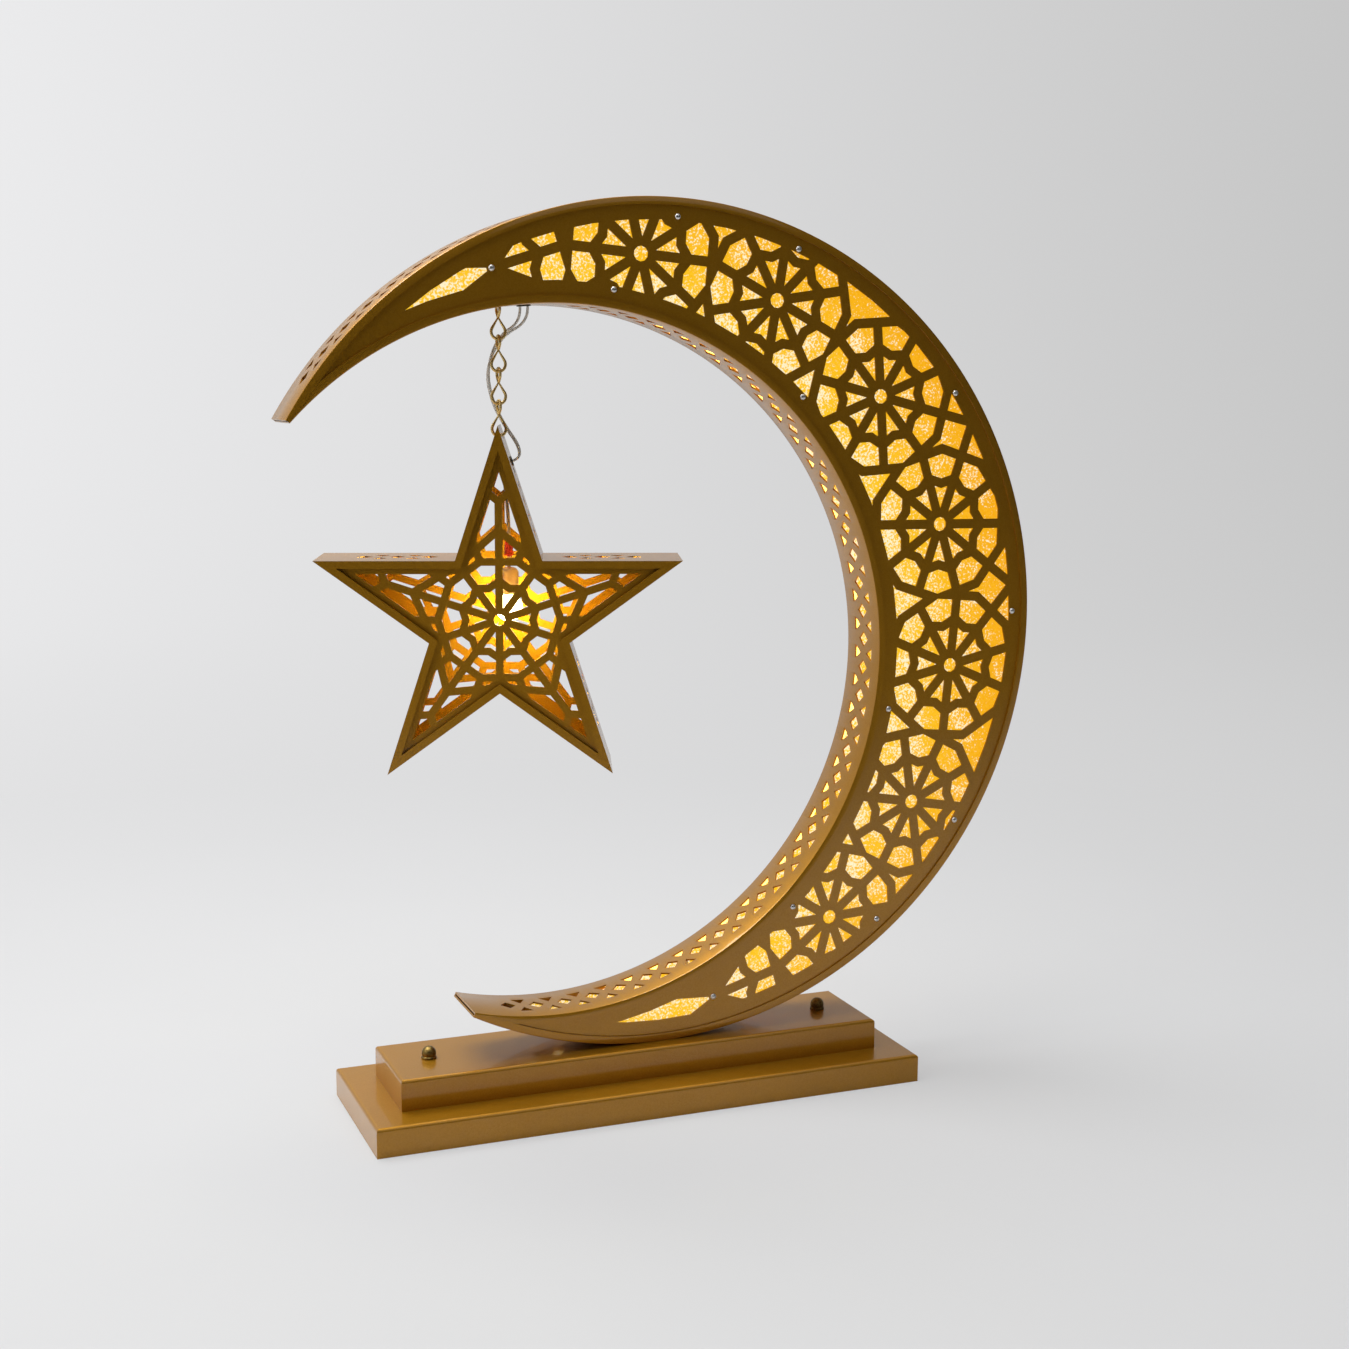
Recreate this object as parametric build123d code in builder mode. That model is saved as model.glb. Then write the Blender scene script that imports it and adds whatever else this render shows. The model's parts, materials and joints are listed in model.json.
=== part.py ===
import os
from math import acos, atan2, cos, degrees, radians, sin, sqrt, tan

from build123d import *

# Base of two folded sheet trays, one on the other
base_length = 480.0
base_depth = 150.0
lower_tier_height = 24.0
upper_tier_height = 26.0
tier_end_step = 27.5
tier_side_step = 30.0
upper_tier_length = base_length - 2 * tier_end_step
upper_tier_depth = base_depth - 2 * tier_side_step
tray_sheet = 1.5
tray_bend = 3.0
base_height = lower_tier_height + upper_tier_height

# Crescent between two circles, the inner one set over and leaning
outer_radius = 350.0
circle_step = 60.0
inner_radius = outer_radius - circle_step
circle_offset = 91.0
crescent_lean = 16.25
crescent_shift = 15.0
crescent_depth = 60.0
rim_sheet = 1.5
rim_flange = 6.5
window_count = 12
window_bar = 20.0
window_width = 30.0
outer_window_angles = (-76, 144)
inner_window_angles = (-98, 88)
horn_cut = 19.0

# Pierced plates and the diffusers behind them
plate_sheet = 1.2
plate_play = 0.15
plate_end = 48.0
plate_border = 18.0
diffuser_sheet = 1.0
diffuser_margin = 8.0
smallest_opening = 25.0
gap_end = 230.0

# Ten-fold rosette, sized as it is cut in the crescent
strap = 8.2
hub_hole = 6.2
ring_notch = 31.1
ring_point = 39.5
ring_slope = tan(radians(17))
decagon_opening = 60.6
rosette_count = 7
rosette_first_angle = 85.3
rosette_pitch = 22.6
rosette_inset = 1.5
crossed_gaps = (rosette_count // 2 - 1, rosette_count // 2)
crossing_angle = 54.0
horn_openings_angle = 108.0
horn_openings_span = 72.0
horn_wedge_angle = 92.0
horn_wedge_start = 3.9

# Rivets, given by angle about the middle of the rosette circle
rivet_head = 5.2
rivet_head_height = 1.8
rivet_border_gap = 0.3
outer_rivet_angles = (80.6, 63.1, 33.4, 2.6, -27.3, -45.2)
inner_rivet_angles = (89.4, 50.2, -14.0, -54.2)

# Chain of figure-eight links and the star that hangs on it
hang_x = -113.0
chain_wire = 2.4
chain_play = 0.3
link_count = 4
link_length = 28.2
link_waist = 11.3
upper_loop = 4.6
lower_loop = 5.8
loop_step = 30.0
chain_hole_play = 1.7
chain_hole_inset = 0.6

star_points = 5
star_radius = 153.2
star_depth = 76.0
star_yaw = -18.5
star_sheet = 1.2
star_flange = 6.0
star_recess = 4.0
star_border = 10.7
star_hang = 9.0
hang_slot_length = 11.0
hang_slot_below = 0.5
hang_slot_above = 1.3
star_pattern = 0.75
chevron_place = 71.5
chevron_angle = 131.0
fork_place = 94.0
fork_angle = 51.0
notch_strap = 51.0

# Two-core cable and the lamp it feeds
core_diameter = 2.2
core_spacing = 3.2
core_twist = 0.6
bend_share = 0.45
cable_rim_side = 22.5
cable_rim_y = 4.0
cable_rim_run = 12.0
cable_star_run = 6.5
bush_radius = 6.0
bush_lip = 1.0
bush_stand_off = 0.1
cable_hole_height = 124.0
cable_hole_depth = 9.0
star_bush_radius = 4.0
bulb_radius = 11.0
bulb_side = 7.0
bulb_height = 6.0
bulb_chamfer = 5.0
holder_radius = 8.0
holder_length = 22.0
connector_width = 8.0
connector_length = 15.0
connector_gap = 9.0
lamp_lead_run = 5.0

# Places that the cable passes: to the right of the chain, behind it, and below its top
cable_places = [
    (4.0, 10.0, 25.8),
    (-8.5, 6.0, 51.8),
    (-3.0, 10.0, 76.8),
    (8.0, 10.5, 96.8),
    (18.0, 6.0, 111.8),
]

# Small fixings in and on the base
finial_inset = 34.5
finial_ball = 6.0
finial_collar = 4.0
finial_foot = 4.2
finial_ball_rise = 4.8
ball_latitudes = (-50, -18, 18, 50, 78)
stud_radius = 3.0
hole_play = 0.25
nut_across = 10.0
nut_height = 5.0
nut_sides = 6
seat_bolt_place = 22.0
seat_head_height = 4.0
bolt_tail = 1.0
cover_sheet = 1.5
cover_play = 0.3
post_size = 12.0
cover_screw_radius = 3.0
cover_screw_length = 12.0
driver_size = (90.0, 38.0, 15.0)
driver_x = -90.0
inlet_radius = 5.0
lead_hole = 5.0
lead_diameter = 3.0
lead_corner_share = 0.4
lead_rise = 30.0
lead_turn_rise = 42.0
lead_x = 60.0
strip_width = 8.0
strip_height = 2.5
strip_edge = 24.5

# Sides given to small or hidden round pieces
wire_sides = 6
core_sides = 4
bush_sides = 8
ball_sides = 12
hidden_arc_sides = 30
border_sides = 72
flange_sides = 48

half_sector = radians(18)
spoke_offset = strap / (2 * cos(half_sector))
star_step = 360 / star_points
cable_rim_x = hang_x + cable_rim_side
finial_place = upper_tier_length / 2 - finial_inset
decagon_outside = decagon_opening + strap / cos(half_sector)
lean = radians(crescent_lean)
outer_centre = (crescent_shift, base_height + outer_radius)
inner_centre = (
    outer_centre[0] - circle_offset * cos(lean),
    outer_centre[1] - circle_offset * sin(lean),
)
rosette_centre = (
    (outer_centre[0] + inner_centre[0]) / 2,
    (outer_centre[1] + inner_centre[1]) / 2,
)
rosette_circle = (outer_radius + inner_radius) / 2 - rosette_inset


def around(centre, radius, angle):
    """Point at an angle on a circle."""
    turn = radians(angle)
    return (centre[0] + radius * cos(turn), centre[1] + radius * sin(turn))


def border_point(angle, centre, radius):
    """Point where a ray from the rosette centre meets a circle."""
    ray = (cos(radians(angle)), sin(radians(angle)))
    away = (rosette_centre[0] - centre[0], rosette_centre[1] - centre[1])
    along = away[0] * ray[0] + away[1] * ray[1]
    reach = -along + sqrt(along**2 - away[0] ** 2 - away[1] ** 2 + radius**2)
    return (rosette_centre[0] + reach * ray[0], rosette_centre[1] + reach * ray[1])


# Where the two circles would cross if the horns ran on to a point
crossing_run = (outer_radius**2 - inner_radius**2 + circle_offset**2) / (2 * circle_offset)
crossing_half_angle = degrees(acos(crossing_run / outer_radius))
horn_points = [
    around(outer_centre, outer_radius, 180 + crescent_lean - crossing_half_angle),
    around(outer_centre, outer_radius, 180 + crescent_lean + crossing_half_angle),
]

rosette_angles = [rosette_first_angle - rosette_pitch * k for k in range(rosette_count)]
rosettes = [
    Location((*around(rosette_centre, rosette_circle, angle), 0), (0, 0, angle))
    for angle in rosette_angles
]
horn_angles = [rosette_angles[0] + rosette_pitch, rosette_angles[-1] - rosette_pitch]
horn_rosettes = [
    Location((*around(rosette_centre, rosette_circle, angle), 0), (0, 0, angle))
    for angle in horn_angles
]

rivet_margin = plate_border - rivet_head / 2 - rivet_border_gap
rivet_places = [border_point(a, outer_centre, outer_radius - rivet_margin) for a in outer_rivet_angles]
rivet_places += [border_point(a, inner_centre, inner_radius + rivet_margin) for a in inner_rivet_angles]
rivet_places += [around(rosette_centre, rosette_circle, a) for a in horn_angles]


def sector_corner(distance, slope):
    """Corner where a line that crosses the sector's middle at a distance meets a spoke's side."""
    across = (distance * tan(half_sector) - spoke_offset) / (1 - slope * tan(half_sector))
    return (distance + slope * across, across)


def mirrored(points):
    """Half outline from axis to axis, closed by its mirror image."""
    return points + [(u, -v) for u, v in reversed(points) if v > 0]


swallowtail = mirrored(
    [
        (spoke_offset / tan(half_sector), 0),
        sector_corner(ring_notch, ring_slope),
        (ring_notch, 0),
    ]
)
petal = mirrored(
    [
        (ring_point, 0),
        sector_corner(ring_point, ring_slope),
        sector_corner(decagon_opening, -tan(half_sector)),
        (decagon_opening, 0),
    ]
)


def sized(points, size):
    """Outline scaled about the rosette's hub."""
    return [(u * size, v * size) for u, v in points]


def rosette_openings(size):
    """Hub hole, ten swallow-tailed openings and ten six-sided petals."""
    RegularPolygon(hub_hole * size, 10)
    with PolarLocations(0, 10):
        Polygon(*sized(swallowtail, size), align=None)
        Polygon(*sized(petal, size), align=None)


def lune(outer_margin, inner_margin):
    """Crescent outline drawn in from each circle by a margin."""
    with Locations(outer_centre):
        Circle(outer_radius - outer_margin)
    with Locations(inner_centre):
        Circle(inner_radius + inner_margin, mode=Mode.SUBTRACT)


def straight_lune(margin, sides):
    """Crescent outline of short straight edges, drawn in from both circles by a margin."""
    with Locations(outer_centre):
        RegularPolygon(outer_radius - margin, sides)
    with Locations(inner_centre):
        RegularPolygon(inner_radius + margin, sides, major_radius=False, mode=Mode.SUBTRACT)


def keep_in_border():
    """Trim openings to the plain border that runs along both rims."""
    with Locations(outer_centre):
        RegularPolygon(outer_radius - plate_border, border_sides, mode=Mode.INTERSECT)
    with Locations(inner_centre):
        RegularPolygon(inner_radius + plate_border, border_sides, mode=Mode.SUBTRACT)


def trim_horns(length):
    """Cut the horns short of the point where the circles cross."""
    with Locations(*horn_points):
        Circle(length, mode=Mode.SUBTRACT)


# Openings of the crescent plates: rosettes, gaps between them, ends towards the horns
with BuildSketch() as rosette_cuts:
    with Locations(*rosettes):
        rosette_openings(1)
    keep_in_border()

with BuildSketch() as gap_cuts:
    straight_lune(plate_border, border_sides)
    trim_horns(gap_end)
    with Locations(*rosettes, *horn_rosettes):
        RegularPolygon(decagon_outside, 10, mode=Mode.SUBTRACT)
    with Locations(*[rosettes[k] for k in crossed_gaps]):
        with PolarLocations(decagon_outside, 1, -crossing_angle):
            Rectangle(decagon_outside, strap, mode=Mode.SUBTRACT)
    with Locations(*[rosettes[k + 1] for k in crossed_gaps]):
        with PolarLocations(decagon_outside, 1, crossing_angle):
            Rectangle(decagon_outside, strap, mode=Mode.SUBTRACT)

horn_wedge_end = 2 * decagon_outside
horn_wedge = mirrored(
    [
        (horn_wedge_start, horn_wedge_start * tan(half_sector)),
        (horn_wedge_end, horn_wedge_end * tan(half_sector)),
    ]
)
with BuildSketch() as horn_cuts:
    for place, way in zip(horn_rosettes, (1, -1)):
        with Locations(place):
            with PolarLocations(0, 2, -way * horn_openings_angle, way * horn_openings_span):
                Polygon(*swallowtail, align=None)
                Polygon(*petal, align=None)
            with PolarLocations(0, 1, way * horn_wedge_angle):
                Polygon(*horn_wedge, align=None)
    keep_in_border()

plate_openings = [
    face
    for cuts in (rosette_cuts, gap_cuts, horn_cuts)
    for face in cuts.sketch.faces()
    if face.area > smallest_opening
]

# The plates' own edges lie behind the rims' flanges, so they are cut straight
with BuildSketch() as plate_outline:
    straight_lune(rim_sheet + plate_play, hidden_arc_sides)
    trim_horns(plate_end)

with BuildSketch() as plate_face:
    add(plate_outline.sketch)
    add(plate_openings, mode=Mode.SUBTRACT)

# Diffusers are cut with straight edges that the plates' borders hide
with BuildSketch() as diffuser_outline:
    straight_lune(diffuser_margin, hidden_arc_sides)
    trim_horns(plate_end)

face_depth = crescent_depth / 2
plate_front = face_depth - rim_sheet


def crescent_sheet(sketch, front, thickness, back_side):
    """Flat sheet of a crescent sketch, at the front or mirrored to the back."""
    depth = front - thickness if back_side else -front
    with BuildPart() as sheet:
        extrude(Plane.XZ.offset(-depth) * sketch, amount=-thickness)
    return sheet


front_plate = crescent_sheet(plate_face.sketch, plate_front, plate_sheet, False)
back_plate = crescent_sheet(plate_outline.sketch, plate_front, plate_sheet, True)
diffuser_front = plate_front - plate_sheet
front_diffuser = crescent_sheet(diffuser_outline.sketch, diffuser_front, diffuser_sheet, False)
back_diffuser = crescent_sheet(diffuser_outline.sketch, diffuser_front, diffuser_sheet, True)

# Heads of the rivets that clamp the diffuser to the front plate
with BuildPart() as front_rivets:
    with BuildSketch(Plane.XZ.offset(plate_front)):
        with Locations(*rivet_places):
            RegularPolygon(rivet_head / 2, wire_sides)
    extrude(amount=rivet_head_height)


def cut_windows(centre, radius, first_angle, last_angle):
    """Row of openings cut through a rim, with a bar of sheet between neighbours."""
    pitch = (last_angle - first_angle) / window_count
    planes = []
    for k in range(window_count):
        angle = first_angle + (k + 0.5) * pitch
        x, z = around(centre, radius, angle)
        out = Vector(cos(radians(angle)), 0, sin(radians(angle)))
        planes.append(Plane(origin=(x, 0, z), x_dir=(0, 1, 0), z_dir=out))
    with BuildSketch(*planes) as openings:
        Rectangle(window_width, radius * radians(pitch) - window_bar)
    extrude(openings.sketch, amount=rim_flange, both=True, mode=Mode.SUBTRACT)


# Rims: strips bent round the crescent, folded to a flange at both faces, with a row of openings
rim_planes = (Plane.XZ.offset(face_depth), Plane.XZ.offset(-face_depth + rim_sheet))
hang_rise = sqrt((inner_radius + rim_sheet) ** 2 - (hang_x - inner_centre[0]) ** 2)
chain_top = inner_centre[1] + hang_rise + 1.5 * chain_play + chain_wire / 2
chain_hole = chain_wire / 2 + chain_hole_play
chain_hole_side = upper_loop - chain_hole_inset
bush_rise = sqrt(inner_radius**2 - (cable_rim_x - inner_centre[0]) ** 2)
rim_under = inner_centre[1] + bush_rise
seat_holes = [(crescent_shift - seat_bolt_place, 0), (crescent_shift + seat_bolt_place, 0)]

with BuildPart() as outer_rim:
    with BuildSketch(rim_planes[0]):
        lune(0, 0)
        with Locations(outer_centre):
            Circle(outer_radius - rim_sheet, mode=Mode.SUBTRACT)
        trim_horns(horn_cut)
    extrude(amount=-crescent_depth)
    for plane in rim_planes:
        with BuildSketch(plane):
            lune(0, rim_sheet + plate_play)
            with Locations(outer_centre):
                RegularPolygon(outer_radius - rim_flange, flange_sides, mode=Mode.SUBTRACT)
            trim_horns(horn_cut)
        extrude(amount=-rim_sheet)
    cut_windows(outer_centre, outer_radius, *outer_window_angles)
    with BuildSketch(Plane.XY.offset(base_height)):
        with Locations(*seat_holes):
            RegularPolygon(stud_radius + hole_play, wire_sides)
        with Locations((lead_x, 0)):
            RegularPolygon(lead_hole, wire_sides)
    extrude(amount=4 * rim_flange, mode=Mode.SUBTRACT)

with BuildPart() as inner_rim:
    with BuildSketch(rim_planes[0]):
        with Locations(inner_centre):
            Circle(inner_radius + rim_sheet)
            Circle(inner_radius, mode=Mode.SUBTRACT)
        with Locations(outer_centre):
            Circle(outer_radius - rim_sheet - plate_play, mode=Mode.INTERSECT)
        trim_horns(horn_cut)
    extrude(amount=-crescent_depth)
    for plane in rim_planes:
        with BuildSketch(plane):
            with Locations(inner_centre):
                RegularPolygon(inner_radius + rim_flange, flange_sides)
                Circle(inner_radius, mode=Mode.SUBTRACT)
            with Locations(outer_centre):
                RegularPolygon(outer_radius - rim_flange - plate_play, flange_sides, mode=Mode.INTERSECT)
            trim_horns(horn_cut)
        extrude(amount=-rim_sheet)
    cut_windows(inner_centre, inner_radius, *inner_window_angles)
    with BuildSketch(Plane.XY.offset(chain_top)):
        with Locations((hang_x, chain_hole_side), (hang_x, -chain_hole_side)):
            RegularPolygon(chain_hole, bush_sides)
        with Locations((cable_rim_x, cable_rim_y)):
            RegularPolygon(bush_radius - bush_lip + hole_play, bush_sides)
    extrude(amount=4 * rim_sheet, both=True, mode=Mode.SUBTRACT)

# Light strip stuck round the inner rim, towards the back face
with BuildPart() as led_strip:
    with BuildSketch(Plane.XZ.offset(-strip_edge)):
        with Locations(inner_centre):
            RegularPolygon(inner_radius + rim_sheet + strip_height, hidden_arc_sides, major_radius=False)
            RegularPolygon(
                inner_radius + rim_sheet, hidden_arc_sides, major_radius=False, mode=Mode.SUBTRACT
            )
        with Locations(outer_centre):
            Circle(outer_radius - 2 * plate_border, mode=Mode.INTERSECT)
    extrude(amount=strip_width)

# Base trays, cover and fixings
seat_z = base_height - tray_sheet
lower_top = lower_tier_height - tray_sheet
finial_places = [(-finial_place, 0), (finial_place, 0)]
post_x = base_length / 2 - tray_sheet - post_size
post_y = base_depth / 2 - tray_sheet - post_size
upright = (Align.CENTER, Align.CENTER, Align.MIN)
post_places = [(x, y) for x in (-post_x, post_x) for y in (-post_y, post_y)]


def tray(length, depth, height, floor):
    """Folded sheet tray, open below, with rounded bends."""
    with Locations((0, 0, floor)):
        Box(length, depth, height, align=upright)
        fillet(edges().group_by(Axis.Z)[-1], tray_bend)
        Box(
            length - 2 * tray_sheet,
            depth - 2 * tray_sheet,
            height - tray_sheet,
            align=upright,
            mode=Mode.SUBTRACT,
        )


with BuildPart() as upper_plinth:
    tray(upper_tier_length, upper_tier_depth, upper_tier_height, lower_tier_height)
    with BuildSketch(Plane.XY.offset(base_height)):
        with Locations(*finial_places, *seat_holes):
            RegularPolygon(stud_radius + hole_play, wire_sides)
        with Locations((lead_x, 0)):
            RegularPolygon(lead_hole, wire_sides)
    extrude(amount=-2 * tray_sheet, mode=Mode.SUBTRACT)

with BuildPart() as lower_plinth:
    tray(base_length, base_depth, lower_tier_height, 0)
    with BuildSketch(Plane.XY.offset(cover_sheet)):
        with Locations(*post_places):
            Rectangle(post_size, post_size)
    extrude(amount=lower_top - cover_sheet)
    with BuildSketch(Plane.XY.offset(cover_sheet)):
        with Locations(*post_places):
            RegularPolygon(cover_screw_radius + hole_play, wire_sides)
    extrude(amount=cover_screw_length, mode=Mode.SUBTRACT)
    with BuildSketch(Plane.XY.offset(lower_tier_height)):
        with Locations(*finial_places):
            RegularPolygon(stud_radius + hole_play, wire_sides)
        with Locations((lead_x, 0)):
            RegularPolygon(lead_hole, wire_sides)
    extrude(amount=-2 * tray_sheet, mode=Mode.SUBTRACT)
    with BuildSketch(Plane.XZ.offset(-base_depth / 2)):
        with Locations((0, lower_tier_height / 2)):
            RegularPolygon(inlet_radius + hole_play, bush_sides)
    extrude(amount=2 * tray_sheet, mode=Mode.SUBTRACT)

with BuildPart() as base_cover:
    with BuildSketch():
        Rectangle(base_length - 2 * (tray_sheet + cover_play), base_depth - 2 * (tray_sheet + cover_play))
        with Locations(*post_places):
            RegularPolygon(cover_screw_radius + hole_play, wire_sides, mode=Mode.SUBTRACT)
    extrude(amount=cover_sheet)

with BuildPart() as cover_screws:
    with BuildSketch():
        with Locations(*post_places):
            RegularPolygon(cover_screw_radius, wire_sides)
    extrude(amount=cover_screw_length)

# Ball finials whose studs clamp the two trays together
stud_end = lower_top - 2 * nut_height


def turned(profile, sides, places):
    """Turned piece with flat sides, from heights and radii up its axis."""
    with BuildPart() as piece:
        for (low, low_radius), (high, high_radius) in zip(profile, profile[1:]):
            narrowing = (low_radius - high_radius) * cos(radians(180 / sides))
            with BuildSketch(Plane.XY.offset(low)):
                with Locations(*places):
                    RegularPolygon(low_radius, sides)
            extrude(amount=high - low, taper=degrees(atan2(narrowing, high - low)))
    return piece


def ball_profile(middle, radius, angles):
    """Heights and radii of a ball at a few latitudes."""
    return [(middle + radius * sin(radians(a)), radius * cos(radians(a))) for a in angles]


finial_middle = base_height + finial_collar + finial_ball_rise
finial_tops = turned(
    [(base_height, finial_foot)] + ball_profile(finial_middle, finial_ball, ball_latitudes),
    ball_sides,
    finial_places,
)
with BuildPart() as finials:
    add(finial_tops.part)
    with BuildSketch(Plane.XY.offset(base_height)):
        with Locations(*finial_places):
            RegularPolygon(stud_radius, wire_sides)
    extrude(amount=stud_end - base_height)

with BuildPart() as finial_nuts:
    with BuildSketch(Plane.XY.offset(lower_top)):
        with Locations(*finial_places):
            RegularPolygon(nut_across / 2, nut_sides, major_radius=False)
            RegularPolygon(stud_radius + hole_play, wire_sides, mode=Mode.SUBTRACT)
    extrude(amount=-nut_height)

# Bolts that hold the outer rim on the upper tray
nut_corner = nut_across / 2 / cos(radians(180 / nut_sides))
bolt_edge = seat_bolt_place + nut_corner + hole_play
bolt_seat = outer_centre[1] - sqrt((outer_radius - rim_sheet) ** 2 - bolt_edge**2)
with BuildPart() as seat_bolts:
    with BuildSketch(Plane.XY.offset(bolt_seat)):
        with Locations(*seat_holes):
            RegularPolygon(nut_across / 2, nut_sides, major_radius=False)
    extrude(amount=seat_head_height)
    with BuildSketch(Plane.XY.offset(bolt_seat)):
        with Locations(*seat_holes):
            RegularPolygon(stud_radius, wire_sides)
    extrude(amount=seat_z - nut_height - bolt_tail - bolt_seat)

with BuildPart() as seat_nuts:
    with BuildSketch(Plane.XY.offset(seat_z)):
        with Locations(*seat_holes):
            RegularPolygon(nut_across / 2, nut_sides, major_radius=False)
            RegularPolygon(stud_radius + hole_play, wire_sides, mode=Mode.SUBTRACT)
    extrude(amount=-nut_height)

# Driver, its lead up to the light strip, and the grommet for the supply cord
with BuildPart() as led_driver:
    with Locations((driver_x, 0, cover_sheet)):
        Box(*driver_size, align=upright)

with BuildPart() as inlet_grommet:
    with BuildSketch(Plane.XZ.offset(-base_depth / 2)):
        with Locations((0, lower_tier_height / 2)):
            RegularPolygon(inlet_radius + 2 * bush_lip, bush_sides)
    extrude(amount=-2 * bush_lip)
    with BuildSketch(Plane.XZ.offset(-base_depth / 2)):
        with Locations((0, lower_tier_height / 2)):
            RegularPolygon(inlet_radius, bush_sides)
    extrude(amount=2 * tray_sheet)


def bend_radii(points):
    """Largest bend at each corner that leaves a tenth of the shorter run straight."""
    radii = []
    for before, corner, after in zip(points, points[1:], points[2:]):
        first = Vector(*corner) - Vector(*before)
        second = Vector(*after) - Vector(*corner)
        half_turn = radians(first.get_angle(second)) / 2
        radii.append(bend_share * min(first.length, second.length) / tan(half_turn))
    return radii


def cord(points, diameter):
    """Cord along straight runs and bends through a list of points."""
    with BuildPart() as run:
        with BuildLine() as route:
            FilletPolyline(*points, radius=bend_radii(points))
        with BuildSketch(Plane(origin=route.line @ 0, z_dir=route.line % 0)):
            RegularPolygon(diameter / 2, core_sides)
        sweep(path=route.line, transition=Transition.ROUND)
    return run


def hidden_lead(points, diameter):
    """Lead inside a housing, with each corner cut off by a short straight run."""
    route_points = [points[0]]
    for before, corner, after in zip(points, points[1:], points[2:]):
        place = Vector(*corner)
        back = Vector(*before) - place
        forth = Vector(*after) - place
        cut = min(2 * diameter, lead_corner_share * back.length, lead_corner_share * forth.length)
        route_points.append(tuple(place + back.normalized() * cut))
        route_points.append(tuple(place + forth.normalized() * cut))
    route_points.append(points[-1])
    with BuildPart() as run:
        with BuildLine() as route:
            Polyline(*route_points)
        with BuildSketch(Plane(origin=route.line @ 0, z_dir=route.line % 0)):
            RegularPolygon(diameter / 2, wire_sides)
        sweep(path=route.line, transition=Transition.RIGHT)
    return run


strip_middle = strip_edge - strip_width / 2
strip_outside = (inner_radius + rim_sheet + strip_height) / cos(radians(180 / hidden_arc_sides))
strip_z = inner_centre[1] - sqrt(strip_outside**2 - (lead_x - inner_centre[0]) ** 2)
lead_floor = cover_sheet + driver_size[2] / 2
strip_lead = hidden_lead(
    [
        (driver_x + driver_size[0] / 2, 0, lead_floor),
        (lead_x, 0, lead_floor),
        (lead_x, 0, base_height + lead_rise),
        (lead_x, strip_middle, base_height + lead_turn_rise),
        (lead_x, strip_middle, strip_z - lead_diameter / 2),
    ],
    lead_diameter,
)

# Chain of figure-eight links, upper loops across the chain and lower loops along the crescent
link_tops = [chain_top - k * (link_length - chain_wire - chain_play) for k in range(link_count)]
chain_bottom = link_tops[-1] - link_length


def loop_points(radius, length):
    """Half of a pear-shaped loop, from its far end back to the waist."""
    corner = radius / cos(radians(loop_step / 2))
    points = [(0, length)]
    for turn in range(4):
        angle = radians(loop_step * (turn + 0.5))
        points.append((corner * sin(angle), length - radius + corner * cos(angle)))
    return points


def chain_link(top):
    """Figure-eight link of bent wire."""
    waist = top - link_waist
    upper = loop_points(upper_loop, link_waist)
    lower = loop_points(lower_loop, link_length - link_waist)
    upper_half = [(hang_x, side, waist + along) for side, along in upper]
    upper_back = [(hang_x, -side, waist + along) for side, along in reversed(upper[1:])]
    lower_half = [(hang_x + side, 0, waist - along) for side, along in lower]
    lower_back = [(hang_x - side, 0, waist - along) for side, along in reversed(lower[1:])]
    with BuildPart() as link:
        with BuildLine() as upper_path:
            Polyline(*upper_half, (hang_x, 0, waist), *upper_back, close=True)
        with BuildSketch(Plane(origin=upper_half[0], z_dir=(0, 1, 0))):
            RegularPolygon(chain_wire / 2, wire_sides)
        sweep(path=upper_path.line, transition=Transition.RIGHT)
        with BuildLine() as lower_path:
            Polyline(*lower_half, (hang_x, 0, waist), *lower_back, close=True)
        with BuildSketch(Plane(origin=lower_half[0], z_dir=(1, 0, 0))):
            RegularPolygon(chain_wire / 2, wire_sides)
        sweep(path=lower_path.line, transition=Transition.RIGHT)
    return link


chain_links = [chain_link(top) for top in link_tops]

# Star, hung by its top arm on the last link and turned a little on it
yaw = radians(star_yaw)
star_height = chain_bottom + star_hang - star_radius
star_face = Plane(
    origin=(hang_x, 0, star_height),
    x_dir=(cos(yaw), sin(yaw), 0),
    z_dir=(sin(yaw), -cos(yaw), 0),
)
star_side = Plane(origin=star_face.origin, x_dir=-star_face.z_dir, z_dir=star_face.x_dir)


def star_point(across, up, back):
    """World point from a place in the star's own frame."""
    return star_face.origin + star_face.x_dir * across + star_face.y_dir * up - star_face.z_dir * back


def star_reach(inset):
    """Tip and re-entrant radius of the five-pointed star drawn in by an inset."""
    tip = star_radius - inset / sin(half_sector)
    return tip, tip * sin(half_sector) / sin(3 * half_sector)


def arm_outline(inset):
    """Kite of one star arm from the middle of the star."""
    tip, notch = star_reach(inset)
    side = (notch * sin(2 * half_sector), notch * cos(2 * half_sector))
    return [(0, 0), side, (0, tip), (-side[0], side[1])]


def star_arm(turn):
    """Bent wall of one arm with a flange at both faces."""
    along = star_face.x_dir * cos(radians(turn)) + star_face.y_dir * sin(radians(turn))
    plane = Plane(origin=star_face.origin, x_dir=along, z_dir=star_face.z_dir)
    faces_at = (plane.offset(star_depth / 2), plane.offset(star_sheet - star_depth / 2))
    with BuildPart() as arm:
        with BuildSketch(faces_at[0]):
            Polygon(*arm_outline(0), align=None)
            Polygon(*arm_outline(star_sheet), align=None, mode=Mode.SUBTRACT)
        extrude(amount=-star_depth)
        for face_plane in faces_at:
            with BuildSketch(face_plane) as flange:
                Polygon(*arm_outline(0), align=None)
                Polygon(*arm_outline(star_flange), align=None, mode=Mode.SUBTRACT)
                chamfer(flange.vertices().group_by(Axis.Y)[0], star_flange / 2)
            extrude(amount=-star_sheet)
    return arm


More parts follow.
